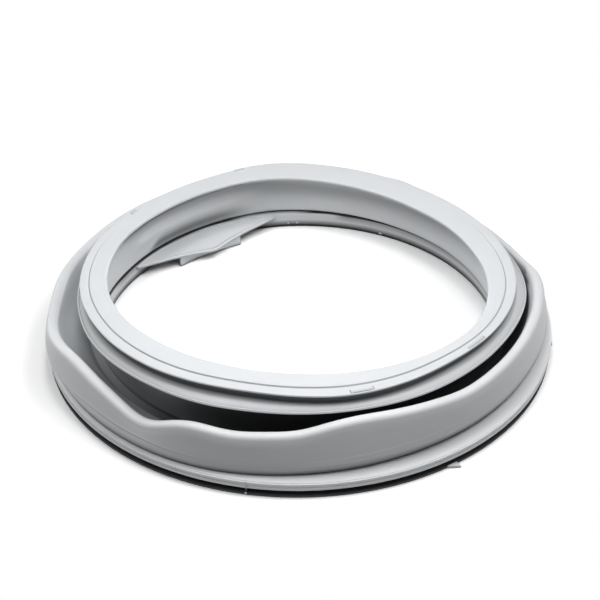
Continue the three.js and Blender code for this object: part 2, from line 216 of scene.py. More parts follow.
def beside(line, distance):
    """A line moved to its left: each point plus distance times the line's normal there."""
    along = np.gradient(line, axis=0)
    along /= length_of(along)
    return line + distance * np.stack([-along[..., 1], along[..., 0]], -1)


print("curves ready")

# %% [markdown]
# The corners of the mould are given as pairs of a point and a cut. The cut is
# how far from the corner its rounding starts. Long straight runs then get more
# points, so that no face of the skin is much longer than it is wide.

# %% Round corners and long runs


def soften_corners(corners, steps=3):
    """Replaces each corner that has a cut by a quadratic curve between the two
    points at that distance from it: (1-t)^2 p + 2 (1-t) t corner + t^2 q."""
    points = np.stack([corner for corner, cut in corners])
    before, after = np.roll(points, 1, 0) - points, np.roll(points, -1, 0) - points
    before /= length_of(before)
    after /= length_of(after)
    t = np.linspace(0, 1, steps + 1)[:, None, None]
    runs = []
    for i, (corner, cut) in enumerate(corners):
        if cut == 0:
            runs.append(corner[None])
            continue
        first, last = corner + before[i] * cut, corner + after[i] * cut
        runs.append((1 - t) ** 2 * first + 2 * (1 - t) * t * corner + t ** 2 * last)
    return np.concatenate(runs)


def fill_long_runs(outline, longest):
    """Adds evenly spaced points wherever two neighbours are further apart than longest."""
    following = np.roll(outline, -1, 0)
    length = length_of(following - outline)[..., 0].mean(1)
    pieces = np.maximum(np.ceil(length / longest), 1).astype(int)
    start = np.repeat(np.arange(len(outline)), pieces)
    share = np.concatenate([np.arange(n) / n for n in pieces])[:, None, None]
    return outline[start] * (1 - share) + following[start] * share


print("corner helpers ready")

# %% [markdown]
# ## The base ring
# A heavy block of rubber with a slot that opens outwards. The rim of the tub
# sits in that slot. Above it a flange ends in a thin step, and a sloping face
# leads to the root of the bellows wall. It is drawn corner by corner, because
# all of it but the root is the same at every angle.

# %% Base ring outline
FOOT, FLANGE, INNER = 199.3, 199.9, 157.0  # radii of the lower lip, the flange and the band
LIP_TOP, SLOT_TOP, BAND = 2.5, 6.9, 13.4  # heights
SLOT_END = 190.0
UNDERCUT = 2.0

base_side = [
    (point(INNER, UNDERCUT), 0.3),
    (point(INNER + 1.0, UNDERCUT - 0.2), 0.3),
    (point(INNER + 1.2, 0.0), 0.0),
    (point(FOOT, 0.0), 0.6),
    (point(FOOT, LIP_TOP), 0.4),
    (point(FOOT - 0.9, LIP_TOP), 0.0),
    (point(SLOT_END, LIP_TOP), 1.8),
    (point(SLOT_END, SLOT_TOP), 1.8),
    (point(FLANGE - 1.4, SLOT_TOP), 0.0),
    (point(FLANGE, SLOT_TOP), 0.35),
    (point(FLANGE, 9.3), 0.0),
    (point(FLANGE - 0.4, 9.5), 0.0),
    (point(FLANGE - 0.4, 9.9), 0.0),
    (point(FLANGE, 10.1), 0.0),
    (point(FLANGE, 12.5), 0.3),
    (point(FLANGE - 0.8, 12.6), 0.15),
    (point(FLANGE - 0.9, 13.3), 0.3),
    (point(root_radius + 0.6, BAND + 1.0), 0.25),
    (point(root_radius, BAND + 0.8), 0.2),
]
print("base ring corners:", len(base_side))

# %% [markdown]
# ## The fold
# The wall is 2.6 mm of rubber. We draw its middle line once, up the outside,
# over the crest, down into the valley and up the inside, and move it half a
# wall to each side. So the wall has the same thickness everywhere, as the
# moulded one has. A Solidify modifier would do that too, but here the two skins
# have to end on the corners of the rings.

# %% Outer wall and crest
WALL = 2.6
CREST_END, CREST_SQUARENESS = 165, 0.85
crest_round = crest_half - WALL / 2
crest_centre = point(crest_radius, crest_height - crest_half)
root = point(root_radius - WALL / 2 + 0.2, BAND + 1.6)
rise = crest_centre[:, 1] - root[:, 1]
shoulder = crest_centre + point(crest_round, 0.0)
outer_wall = bend(root, root + point(5.0, 4.0), shoulder + point(2.6, -rise * 0.5), shoulder, 13)
crest = swing(crest_centre, crest_round, 0, CREST_END, 15, CREST_SQUARENESS)
print("outer wall rises %.1f to %.1f mm" % (rise.min(), rise.max()))

# %% [markdown]
# The fold is open below through a slit above the base band. The valley turns
# round over that slit, and the heel turns up into the inner wall, which ends
# under the second flange of the door ring.

# %% Valley and inner wall
SLIT = 1.0
VALLEY_REACH, VALLEY_ROUND, HEEL_ROUND = 6.0, 4.0, 1.4
floor_height = BAND + SLIT + WALL / 2
foot = foot_radius + WALL / 2
valley = swing(point(foot + VALLEY_REACH, floor_height + VALLEY_ROUND), VALLEY_ROUND, -20, -90, 6)
valley_side = bend(crest[-1], crest[-1] + point(-0.1 * rise, -0.35 * rise),
                   valley[0] + point(0.2 * rise, 0.3 * rise), valley[0], 8)
heel = swing(point(foot + HEEL_ROUND, floor_height + HEEL_ROUND), HEEL_ROUND, -90, -180, 5)

STEP, SLOPE, RIM, CHANNEL, FLANGE_EDGE = 0.9, 0.5, 1.5, 6.6, 2.4  # heights, from the lip down
rim_under = ring_height - STEP - SLOPE - RIM
flange_top = rim_under - CHANNEL
flange_under = flange_top - FLANGE_EDGE
inner_top = point(ring_radius + 2.2, flange_under - WALL / 2)
inner_wall = bend(heel[-1], heel[-1] + point(1.0, 9.0), inner_top + point(3.0, -10.0), inner_top,
                  16, with_last=True)
middle = np.concatenate([root[None], outer_wall, crest, valley_side, valley, heel, inner_wall])
print("middle line of the fold:", len(middle), "points")

# %% [markdown]
# A sagging fold has dents. Above the flap the inner wall bulges inwards along a
# ridge and is sucked in above it. At its left end the ridge breaks off along a
# slanting crease. Each dent is a product of soft steps, so it fades out evenly.

# %% Dents in the inner wall
FULL_ANGLE = ANGLE[None] % 360.0
DENT_DEPTH, KNUCKLE_DEPTH = 2.5, 1.5


def bell(value, centre, width):
    """exp(-((value - centre) / width)^2), one at the centre and near nothing two widths away."""
    return np.exp(-((value - centre) / width) ** 2)


def ramp(value, start, width):
    """1 / (1 + exp(-(value - start) / width)), from 0 up to 1 about the start."""
    return 1 / (1 + np.exp(-(value - start) / width))


def between(start, stop, start_width, stop_width):
    """1 between two angles, with a soft step at either end."""
    return ramp(FULL_ANGLE, start, start_width) * ramp(-FULL_ANGLE, -stop, stop_width)


def crease_angle(height):
    """Where the slanting crease is: 137 degrees at 29.5 mm, and 0.47 more for each mm below."""
    return 137.0 + 0.47 * (29.5 - height)


inside = slice(len(middle) - len(inner_wall) - 2, len(middle) - 1)
wall_height = middle[inside, :, 1]
ridge = bell(wall_height, 27, 6.5) * between(102, crease_angle(wall_height), 3.5, 0.9)
pocket = bell(wall_height, 43, 6.5) * between(96, 152, 3, 3)
knuckle = bell(wall_height, 31, 6) * bell(FULL_ANGLE, 145, 4)
middle[inside, :, 0] += DENT_DEPTH * (pocket - ridge) - KNUCKLE_DEPTH * knuckle
outer_skin = beside(middle, -WALL / 2)
inner_skin = beside(middle, WALL / 2)[::-1]
print("inner wall radius at the back %.1f mm" % at_angle(inner_skin[3, :, 0], 90))

# %% [markdown]
# ## The door ring
# Under the lip runs a channel for the wire clamp. A second flange closes it
# below and the raised rim covers it above. The step between rim and lip is a
# fine dark line in the photograph, so it is drawn as a true narrow groove.

# %% Door ring outline
STEP_WIDTH, CHANNEL_DEPTH, LIP_THICK, GROOVE_DEPTH = 0.5, 4.2, 2.6, 0.8
rim_radius = ring_radius + STEP_WIDTH + rim_width
channel_radius = rim_radius - CHANNEL_DEPTH
edge_radius = ring_radius + flange_reach

ring_side = [
    (point(ring_radius + 5.4, flange_under - 0.2), 0.9),
    (point(edge_radius, flange_under - 0.7), 0.4),
    (point(edge_radius, flange_under + 0.1), 0.0),
    (point(edge_radius - 0.4, flange_under + 0.3), 0.0),
    (point(edge_radius - 0.4, flange_top - 1.5), 0.4),
    (point(edge_radius - 1.2, flange_top - 1.38), 0.0),
    (point(edge_radius - 1.5, flange_top - 1.75), 0.0),
    (point(edge_radius - 1.8, flange_top - 1.32), 0.0),
    (point(channel_radius + 1.5, flange_top - 0.2), 0.0),
    (point(channel_radius, flange_top), 0.9),
    (point(channel_radius, rim_under), 0.6),
    (point(rim_radius, rim_under), 0.4),
    (point(rim_radius, rim_under + RIM), 0.5),
    (point(ring_radius + 0.9, ring_height - STEP), 0.1),
    (point(ring_radius + 0.7, ring_height - STEP - GROOVE_DEPTH), 0.0),
    (point(ring_radius + 0.1, ring_height - STEP - GROOVE_DEPTH), 0.0),
    (point(ring_radius, ring_height), 0.2),
    (point(lip_radius, ring_height), 1.0),
    (point(lip_radius, ring_height - LIP_THICK), 1.0),
    (point(ring_radius - 5.0, ring_height - 4.4), 0.0),
    (point(ring_radius - 1.5, ring_height - 6.8), 0.0),
]
print("door ring corners:", len(ring_side))

# %% [markdown]
# ## One closed skin
# All runs follow each other into one outline. Swept round the axis it gives a
# grid whose last column joins the first, so the skin has no seam and no pole.

# %% Join the runs
LONGEST_RUN = 5.5
base_top = [
    (point(root_radius - WALL - 1.0, BAND), 0.6),
    (point(INNER + 2.0, BAND), 0.0),
    (point(INNER, BAND), 0.5),
]
outer_run = [(place, 0.0) for place in outer_skin[1:-1]]
inner_run = [(place, 0.0) for place in inner_skin[1:-1]]
corners = base_side + outer_run + ring_side + inner_run + base_top
outline = fill_long_runs(soften_corners(corners), LONGEST_RUN)
print("outline:", len(outline), "points")

# %% [markdown]
# ## Painted shade
# Shade is painted into the colour of slots and deep valleys, down to near black.
# How dark a place is painted follows from its section: from each point we look up in
# many directions and count how many of them leave the section without meeting rubber.
# That finds the slit under the fold by itself. It is slow, so we look at every fifth
# angle and take what lies between from its two neighbours.

# %% How open each point is
LOOKS = 24
EVERY = 5


def open_share(section):
    """Share of upward directions in which nothing of the section is met. A point at
    height h along a direction d and at distance s from the line through the origin
    is hidden by a side of the section that spans s and crosses it further along d."""
    following = np.roll(section, -1, 0)
    along = following - np.roll(section, 1, 0)
    along /= length_of(along)
    eye = section + 0.02 * np.stack([along[:, 1], -along[:, 0]], -1)
    free = np.zeros(len(section))
    for look in np.radians(np.linspace(4, 176, LOOKS)):
        ahead = np.array([math.cos(look), math.sin(look)])
        aside = np.array([-math.sin(look), math.cos(look)])
        a, b, s = section @ aside, following @ aside, (eye @ aside)[:, None]
        share = (s - a) / np.where(a == b, 1.0, b - a)
        reach = section @ ahead * (1 - share) + following @ ahead * share
        hidden = (share >= 0) & (share < 1) & (a != b) & (reach > (eye @ ahead)[:, None])
        free += ~hidden.any(1)
    return free / LOOKS


looked_at = np.stack([open_share(outline[:, column]) for column in range(0, TURN, EVERY)], 1)
looked_at = np.concatenate([looked_at, looked_at[:, :1]], 1)
column, share = np.divmod(np.arange(TURN) / EVERY, 1.0)
column = column.astype(int)
openness = looked_at[:, column] * (1 - share) + looked_at[:, column + 1] * share
print("open share of the outline from %.2f to %.2f" % (openness.min(), openness.max()))

# %% [markdown]
# Shade is also painted into the corners that light hardly reaches: all of the tub slot,
# the clamp channel and the groove of the step, the lower lip, the foot of the band and
# the groove of the flange's bead. Each of them is a box in radius and height with a soft
# edge, because a hard one would show the grid's steps.

# %% Painted shade in slots and grooves
radius, height = outline[..., 0], outline[..., 1]
outer_rows = (np.arange(len(outline)) < np.argmin(radius.mean(1)))[:, None]


def patch(inner, outer, low, high, soft=0.3):
    """1 inside a box of the section, falling to 0 over a soft edge."""
    edges = [radius - inner, outer - radius, height - low, high - height]
    return np.clip(1 + np.min(edges, 0) / soft, 0, 1)


in_slot = patch(SLOT_END - 1, FOOT + 1.0, LIP_TOP - 0.6, SLOT_TOP + 0.1, 0.2)
in_channel = patch(channel_radius - 1, channel_radius + 1.2, flange_top - 0.1, rim_under + 0.1, 1.2)
in_bead_groove = patch(edge_radius - 1.7, edge_radius - 1.3, flange_top - 2.0, flange_top - 1.4, 0.2)
step_foot = ring_height - STEP
painted_shade = {
    "lower lip": 0.84 * patch(FOOT - 0.7, FOOT + 1, -0.1, LIP_TOP + 0.1, 0.2),
    "tub slot": in_slot * (radius < FLANGE - 0.2),
    "foot": patch(INNER - 1, INNER + 4.5, -1, UNDERCUT + 0.4, 0.5),
    "clamp channel": 0.75 * in_channel,
    "step": 0.35 * patch(ring_radius + 0.2, ring_radius + 0.8, step_foot - 1, step_foot - 0.4),
    "flange groove": 0.5 * in_bead_groove,
}
print("dusty corners:", ", ".join(painted_shade))

# %% [markdown]
# The fold is tightest at the front right, so its painted shade is darkest there. Two
# sizes round the ring say how wide the painted shade is and how dark it gets.

# %% Painted shade in the fold
shut_width = round_the_ring([
    (-180, 13), (-150, 14), (-120, 17), (-100, 22), (-20, 24), (10, 14), (60, 12), (150, 12)], 6.0)
shut_depth = round_the_ring([
    (-180, 0.0), (-165, 0.05), (-150, 0.3), (-140, 0.38), (-125, 0.6), (-112, 0.85), (-100, 1),
    (-12, 1), (4, 0.8), (20, 0.6)], 5.0)
under_flange = np.clip((flange_under - height) / 1.5, 0, 1) * (height > BAND + 0.5) * outer_rows
behind_crest = np.clip((crest_radius - 1.5 - radius) / 4.0, 0, 1)
in_fold = under_flange * behind_crest
reach_in = np.clip((edge_radius + shut_width - radius) / shut_width, 0, 1)
low_down = np.clip((28.0 - height) / 8.0, 0, 1)
painted_shade["fold"] = shut_depth * in_fold * np.clip(1.3 * reach_in, 0, 1) ** 1.2
painted_shade["valley"] = np.clip(0.35 + shut_depth, 0, 0.93) * in_fold * low_down

# The slit under the fold gets painted shade where its section sees little sky.
closed_in = np.clip(1.5 * (1 - openness / 0.1), 0, 1)
above_band = patch(foot_radius - 0.2, foot_radius + 9, BAND - 0.1, BAND + SLIT + 0.1, 0.9)
painted_shade["slit"] = np.maximum(closed_in, above_band) * ~outer_rows
print("fold dust up to %.2f" % painted_shade["fold"].max())

# %% [markdown]
# On the outer wall shade is painted in the crease at the root and fades upwards. A
# thin painted shade lies on the wall at the front. Inside, shade is painted below the
# ridge and high up behind the lip.

# %% Painted shade on the walls
above_root = height - BAND - 1.0
fade_height = 5.4 + 2.6 * ramp(ANGLE[None], -75, 12)
from_root = np.where(above_root > 0.3, above_root / fade_height, (radius - root_radius) / 0.6)
near_root = outer_rows * (radius > root_radius - 0.5) * (height > BAND - 0.5)
painted_shade["wall root"] = 0.93 * bell(from_root, 0, 1) * near_root

below_crest = np.clip((crest_height - 2 - height) / 7, 0, 1)
on_wall = outer_rows * (radius > crest_radius) * (height > BAND + 1.2) * below_crest
painted_shade["outer wall"] = (0.36 * bell(ANGLE[None], -106, 27) + 0.16 * bell(ANGLE[None], -52, 22)) * on_wall

behind_lip = 0.8 * bell(height, 48, 5) * between(98, 156, 3, 3)
below_ridge = 0.72 * bell(height, 20.5, 6.5) * between(109, crease_angle(height), 3, 0.5)
painted_shade["dents"] = (behind_lip + below_ridge) * ~outer_rows
painted_shade_share = np.max(list(painted_shade.values()), 0)
print("dusty points: %d of %d" % ((painted_shade_share > 0.5).sum(), painted_shade_share.size))

# %% [markdown]
# Highlights are painted into the colour as paler rubber: on the crest at the front,
# inside the crest at the far left, on top of the flange and along the ridge.

# %% Painted highlights
from_crest = np.hypot(radius - crest_radius, height - crest_height)
on_crest = bell(from_crest, 0, 5.0) * bell(ANGLE[None], -95, 50)
on_far_left = bell(from_crest, 0, 14.0) * bell(FULL_ANGLE, 186, 16) * (radius < crest_radius - 3)
on_flange = 0.9 * patch(root_radius + 0.8, FLANGE + 1, 12.4, BAND + 2, 0.6)
on_ridge = 1.8 * bell(height, 34.5, 3.5) * between(105, 147, 3, 1.5)
highlight_share = np.where(outer_rows, np.max([on_crest, on_far_left, on_flange], 0), on_ridge)
print("worn points: %d of %d" % ((highlight_share > 0.5).sum(), highlight_share.size))

# %% [markdown]
# ## From an outline to a mesh
# Swept round the axis the outline becomes a grid of four sided faces. Painted shade
# and painted highlight go with it as two numbers on each point, which the material reads later.

# %% Sweep an outline


def grid_faces(rows, columns, closed):
    """Four corners for each cell of the grid, ordered so that the face looks outwards."""
    row, column = np.meshgrid(np.arange(rows), np.arange(columns if closed else columns - 1), indexing="ij")
    below, beyond = (row + 1) % rows, (column + 1) % columns
    corners = [(row, column), (row, beyond), (below, beyond), (below, column)]
    return np.stack([r * columns + c for r, c in corners], -1).reshape(-1, 4)


def swept_mesh(name, outline, degrees, closed, shaded=0.0, painted_highlight=0.0):
    """Grid of points (r cos a, r sin a, z) for each outline point and angle. An
    open sweep gets its first and last outline as end faces."""
    rows, columns = outline.shape[:2]
    turn = np.radians(degrees)
    xyz = np.stack([outline[..., 0] * np.cos(turn), outline[..., 0] * np.sin(turn), outline[..., 1]], -1)
    first_end = list(range(0, rows * columns, columns))
    last_end = list(range(columns - 1, rows * columns, columns))[::-1]
    faces = grid_faces(rows, columns, closed).tolist() + ([] if closed else [first_end, last_end])
    mesh = bpy.data.meshes.new(name)
    mesh.from_pydata((xyz * MM).reshape(-1, 3).tolist(), [], faces)
    mesh.polygons.foreach_set("use_smooth", np.ones(len(mesh.polygons), bool))
    # Two numbers per point: how much shade and how much highlight are painted there.
    for key, share in (("painted_shade", shaded), ("painted_highlight", painted_highlight)):
        values = mesh.attributes.new(key, "FLOAT", "POINT")
        values.data.foreach_set("value", np.broadcast_to(share, (rows, columns)).astype(float).ravel())
    mesh.validate()
    return mesh


def add_piece(name, mesh):
    """Puts a mesh into the scene as a piece that rides on the part and stands for its solid."""
    piece = bpy.data.objects.new(name, mesh)
    bpy.context.scene.collection.objects.link(piece)
    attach(piece, "root")
    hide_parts("door_seal")
    print(name, len(mesh.vertices), "points", len(mesh.polygons), "faces")
    return piece


skin = add_piece("seal_skin", swept_mesh("seal_skin", outline, ANGLE, True, painted_shade_share, highlight_share))

# %% [markdown]
# ## The deflector flap
# At the far left a thin shelf stands in from the base band. It guides water past
# the door glass. Its free edge is rolled and an apron hangs from it to the floor.
# It is swept about the axis too, with a reach that grows and shrinks, so it
# follows the band wherever it starts from it.

# %% Outline of the flap
FLAP_AT, FLAP_SPAN, FLAP_REACH = 124.0, 27.0, 32.0  # middle and half span in degrees, reach in mm
FLAP_TOP, FLAP_THICK, FLAP_FALL, FLAP_SAG = BAND - 0.8, 2.4, 1.4, 0.6


def flap_reach(degrees):
    """Reach in from the band: full at the middle, falling with the power 0.75 of the distance left."""
    share = np.clip(1 - np.sqrt(((degrees - FLAP_AT) / FLAP_SPAN) ** 2 + 0.002), 0.02, 1)
    return FLAP_REACH * share ** 0.75


def flap_outline(degrees):
    """Shelf that falls to a rolled edge slightly thicker than itself, and sags by FLAP_SAG sin(pi t)."""
    reach = flap_reach(degrees)
    fall = FLAP_FALL * reach / FLAP_REACH
    t = np.linspace(0, 1, 12)[:, None]
    upper_height = FLAP_TOP - fall * t - FLAP_SAG * np.sin(np.pi * t)
    upper = np.stack([INNER + 1.2 - t * (reach - 1.2), upper_height], -1)
    turn = np.radians(np.linspace(90, 270, 9))[:, None]
    edge, edge_height = INNER - reach + 1.3, FLAP_TOP - fall - 0.9
    roll = np.stack([edge + 1.3 * np.cos(turn), edge_height + 1.6 * np.sin(turn)], -1)
    lower = upper[::-1] - np.array([0.0, FLAP_THICK])
    return np.concatenate([upper, roll, lower])


flap_degrees = FLAP_AT + np.linspace(-0.98, 0.98, 90) * FLAP_SPAN
# Shade is painted on the underside of the flap, growing round its rolled edge, and as a thin line where the
# top meets the roll.
roll_shade = np.linspace(0, 1, 9) ** 3
flap_shade = 0.9 * np.concatenate([np.zeros(11), [0.4], roll_shade, np.ones(12)])[:, None]
flap_mesh = swept_mesh("deflector_flap", flap_outline(flap_degrees), flap_degrees, False, flap_shade)
flap = add_piece("deflector_flap", flap_mesh)

# %% [markdown]
# The apron is a thin wall under the rolled edge. It leans back towards the band
# and waves a little, as soft rubber does where nothing holds it.

# %% Outline of the apron
APRON_THICK, APRON_FOOT, APRON_SPAN = 2.2, INNER - 19, 12.5
GROUND_GAP, WAVE_DEPTH, WAVES = 0.4, 1.2, 14


def apron_outline(degrees):
    """Wall from under the rolled edge down and back to the floor. Halfway down it
    stands out by WAVE_DEPTH sin(WAVES a) sin(pi t), a wave along the apron."""
    reach = flap_reach(degrees)
    edge = INNER - reach + 1.0
    top = BAND - 2.4 - FLAP_FALL * reach / FLAP_REACH
    t = np.linspace(0, 1, 8)[:, None]
    wave = WAVE_DEPTH * np.sin(np.radians(degrees - FLAP_AT) * WAVES) * np.sin(np.pi * t)
    front = np.stack([edge + (APRON_FOOT - edge) * t + wave, top + (GROUND_GAP - top) * t], -1)
    rear = front[::-1] + np.array([APRON_THICK, 0.0])
    return np.concatenate([front, rear])


apron_degrees = FLAP_AT + np.linspace(-APRON_SPAN, APRON_SPAN, 60)
apron_section = apron_outline(apron_degrees)
# Shade is painted on the apron, darker towards the floor.
apron_shade = 0.9 * np.clip(1.5 - apron_section[..., 1] / 1.4, 0, 1)
apron_mesh = swept_mesh("flap_apron", apron_section, apron_degrees, False, apron_shade)
apron = add_piece("flap_apron", apron_mesh)

# %% [markdown]
# ## Small moulded marks
# Pads on the rim show which way round the seal goes, a thin rib crosses the
# base, and a finger lug helps to pull the seal off. Each is a short body bent
# round the axis and sunk a little into the ring that carries it. As separate
# bodies they stay crisp, where the skin's grid would smear them.

# %% Bodies bent round the axis
PAD_WIDTH, PAD_RISE, LUG_REACH = 5.0, 0.7, 5.0


def bent_body(name, at, half_span, columns, corners_at, cut, shaded=0.0):
    """A short body round the axis. Its corners come from the angles and from u,
    which runs from -1 to 1 over the body, and each corner is cut a little."""
    u = np.linspace(-1, 1, columns)
    degrees = at + half_span * u
    corners = []
    for corner in corners_at(degrees, u):
        corners.append((np.stack(np.broadcast_arrays(*corner, 0 * u)[:2], -1), cut))
    return add_piece(name, swept_mesh(name, soften_corners(corners), degrees, False, shaded))


def rim_pad(degrees, u):
    """Pad on the slope of the rim that rises by PAD_RISE (1 - u^6), so its ends are round."""
    edge, top = at_angle(rim_radius, degrees), at_angle(rim_under, degrees) + RIM
    rise = PAD_RISE * (1 - u ** 6)
    return [(edge - PAD_WIDTH, top - 0.6), (edge - 1.0, top - 0.6),
            (edge - 1.0, top + 0.04 + rise), (edge - PAD_WIDTH, top + 0.32)]


def lug(degrees, u):
    """Three cornered lug, flush at one end and out by LUG_REACH at the other."""
    reach = FOOT + 0.4 + LUG_REACH * (1 + u) / 2
    return [(FOOT - 1.5, 0.5), (reach, 0.5), (reach, 2.3), (FOOT - 1.5, 2.3)]


def block(inner, outer, low, high):
    """Plain corners of a short upright block."""
    return lambda degrees, u: [(inner, low), (outer, low), (outer, high), (inner, high)]


print("bodies ready")

# %% [markdown]
# Shade is painted along the outer edge of each pad and at its two ends, and draws its
# outline. The rib is one line over flange, slot and lower lip, in three blocks, and
# its block in the slot is painted dark with shade.

# %% Pads, rib, lug and pips
PAD_COLUMNS, PAD_CORNER_POINTS = 30, 4
pad_ends = 0.5 * (np.abs(np.linspace(-1, 1, PAD_COLUMNS)) > 0.9)
pad_edges = np.repeat([0, 0.8, 0.3, 0], PAD_CORNER_POINTS)[:, None]
pad_shade = np.maximum(pad_ends, pad_edges)
marks = []
for n, (at, half) in enumerate([(-75, 3.1), (-37.8, 3.7), (107.6, 1.5), (148.4, 1.5)]):
    marks.append(bent_body("rim_pad_%d" % n, at, half, PAD_COLUMNS, rim_pad, 0.25, pad_shade))

RIB_AT = -101.3
flange_block = block(FLANGE - 0.8, FLANGE + 0.6, 7.2, 13.0)
slot_block = block(FOOT - 6.0, FOOT - 0.6, 2.3, 7.1)
lip_block = block(FOOT - 0.8, FOOT + 0.5, 0.6, 2.4)
pip_block = block(FLANGE - 0.5, FLANGE + 0.9, 9.0, 11.2)
marks += [bent_body("base_rib", RIB_AT, 0.18, 3, flange_block, 0.2),
          bent_body("slot_rib", RIB_AT, 0.14, 3, slot_block, 0.2, 0.9),
          bent_body("lip_rib", RIB_AT, 0.25, 3, lip_block, 0.2),
          bent_body("finger_lug", -57.0, 1.2, 9, lug, 0.25),
          bent_body("flange_pip", -9.9, 0.35, 5, pip_block, 0.4)]
for n, (at, half, low) in enumerate([(93.3, 0.25, 3.6), (90.4, 0.3, 3.8), (62.9, 0.5, 2.6)]):
    band_block = block(INNER - 0.6, INNER + 0.5, low, low + 1.2)
    marks.append(bent_body("band_pip_%d" % n, at, half, 5, band_block, 0.3))
print("small marks:", len(marks))

# %% [markdown]
# ## Rubber
# Light grey rubber with a satin skin. Its colour drifts a little, fine grain
# breaks the sheen, and faint lines of painted highlight and painted shade lie on the
# outer wall. Maths on sockets is easier to read as expressions, so a small class adds the nodes for them.

# %% Numbers on sockets


def plug(tree, slot, item):
    """Links a Value to a socket, or gives the socket a plain number or colour."""
    if isinstance(item, Value):
        tree.links.new(item.socket, slot)
    else:
        slot.default_value = item


class Value:
    """A number on a node socket that can be added and multiplied like a number."""

    def __init__(self, tree, socket):
        self.tree, self.socket = tree, socket

    def maths(self, operation, *others):
        node = self.tree.nodes.new("ShaderNodeMath")
        node.operation = operation
        for slot, item in zip(node.inputs, others):
            plug(self.tree, slot, item)
        return Value(self.tree, node.outputs[0])

    def __add__(self, other):
        return self.maths("ADD", self, other)

    def __radd__(self, other):
        return self.maths("ADD", other, self)

    def __sub__(self, other):
        return self.maths("SUBTRACT", self, other)

    def __rsub__(self, other):
        return self.maths("SUBTRACT", other, self)

    def __mul__(self, other):
        return self.maths("MULTIPLY", self, other)

    def __rmul__(self, other):
        return self.maths("MULTIPLY", other, self)

    def root(self):
        """Square root."""
        return self.maths("SQRT", self)

    def clip(self):
        """The number held between 0 and 1."""
        node = self.tree.nodes.new("ShaderNodeClamp")
        plug(self.tree, node.inputs[0], self)
        return Value(self.tree, node.outputs[0])

    def bell(self, centre, width):
        """exp(-((value - centre) / width)^2), the same bell as for the dents."""
        far = (self - centre) * (1.0 / width)
        return self.maths("EXPONENT", -1.0 * far * far)


print("sockets can be added and multiplied")

# %% [markdown]
# A finish is a material with three ways to add to it: any node with its settings
# and sockets, a vector split into numbers, and a blend of two colours.

# %% Materials made of nodes


class Finish:
    """A material whose nodes are added by type, settings and socket values."""

    def __init__(self, name):
        self.material = bpy.data.materials.new(name)
        self.material.use_nodes = True
        self.tree = self.material.node_tree
        self.shader = self.tree.nodes["Principled BSDF"]
        self.surface = self.tree.nodes["Material Output"].inputs["Surface"]

    def node(self, kind, settings=None, output=0, **sockets):
        made = self.tree.nodes.new(kind)
        for key, value in (settings or {}).items():
            setattr(made, key, value)
        for key, value in sockets.items():
            plug(self.tree, made.inputs[key.replace("_", " ")], value)
        return Value(self.tree, made.outputs[output])

    def split(self, vector):
        """The three parts of a vector as values."""
        parts = self.tree.nodes.new("ShaderNodeSeparateXYZ")
        plug(self.tree, parts.inputs[0], vector)
        return [Value(self.tree, socket) for socket in parts.outputs]

    def blend(self, share, first, second):
        """A colour that goes from the first to the second as share goes from 0 to 1."""
        mix = self.tree.nodes.new("ShaderNodeMix")
        mix.data_type = "RGBA"
        for slot, item in ((0, share), (6, first), (7, second)):
            plug(self.tree, mix.inputs[slot], item)
        return Value(self.tree, mix.outputs[2])

    def feed(self, key, value):
        """Sets or links a socket of the main shader."""
        plug(self.tree, self.shader.inputs[key], value)


print("node helpers ready")

# %% [markdown]
# Fine lines of light and shade are painted on the outer wall: a pale hairline of
# painted highlight and a darker line of painted shade at the front, and at the left a
# crease, a groove in the bump with painted shade in it and a painted shine above it.
# They follow the height on the object, in metres, so they need no picture and no unwrapping.

# %% Lines on the outer wall
rubber = Finish("grey_rubber")
place = rubber.node("ShaderNodeTexCoord", output=3)
x, y, z = rubber.split(place)
from_axis = (x * x + y * y).root()
outside = (((from_axis - 0.186) * 1000.0).clip() * ((-10.0) * y).clip() * 10.0).clip()
hairline_highlight = (z - 0.035 * x).bell(0.0275, 0.0004) * x.bell(0.06, 0.05) * outside
low_line_shade = z.bell(0.0222, 0.0006) * x.bell(0.03, 0.035) * outside
above_crease = z - (0.0235 + 0.0025 * x.bell(-0.153, 0.022))
at_left = x.bell(-0.14, 0.05) * outside
crease_groove_and_shade = above_crease.bell(0.0, 0.00035) * at_left
crease_highlight = above_crease.bell(0.0012, 0.0007) * at_left
print("wall lines:", len(rubber.tree.nodes), "nodes")

# %% [markdown]
# Drift, smears and grain are noise at three sizes. Streaks are noise that is
# stretched along the ring, because rubber flows that way in the mould. The tone,
# with the painted highlights added, runs from a darker to a paler grey, and the
# painted shade pulls it down to near black.

# %% Tone, sheen and grain
DARKER_GREY, PALER_GREY = (0.585, 0.603, 0.62, 1), (0.8, 0.815, 0.83, 1)
SHADE_BLACK = (0.012, 0.012, 0.013, 1)
across = {"X": 700.0 * from_axis + 25.0 * x, "Y": 700.0 * z + 25.0 * y, "Z": 25.0 * x}
along = rubber.node("ShaderNodeCombineXYZ", **across)
streak = rubber.node("ShaderNodeTexNoise", Vector=along, Scale=1.0, Detail=2.0)
drift = rubber.node("ShaderNodeTexNoise", Vector=place, Scale=9.0, Detail=3.0)
grain = rubber.node("ShaderNodeTexNoise", Vector=place, Scale=900.0, Detail=2.0)
smear = rubber.node("ShaderNodeTexNoise", Vector=place, Scale=45.0, Detail=4.0, Roughness=0.6)
shaded = rubber.node("ShaderNodeAttribute", {"attribute_name": "painted_shade"}, output=2)
painted_highlight = rubber.node("ShaderNodeAttribute", {"attribute_name": "painted_highlight"}, output=2)

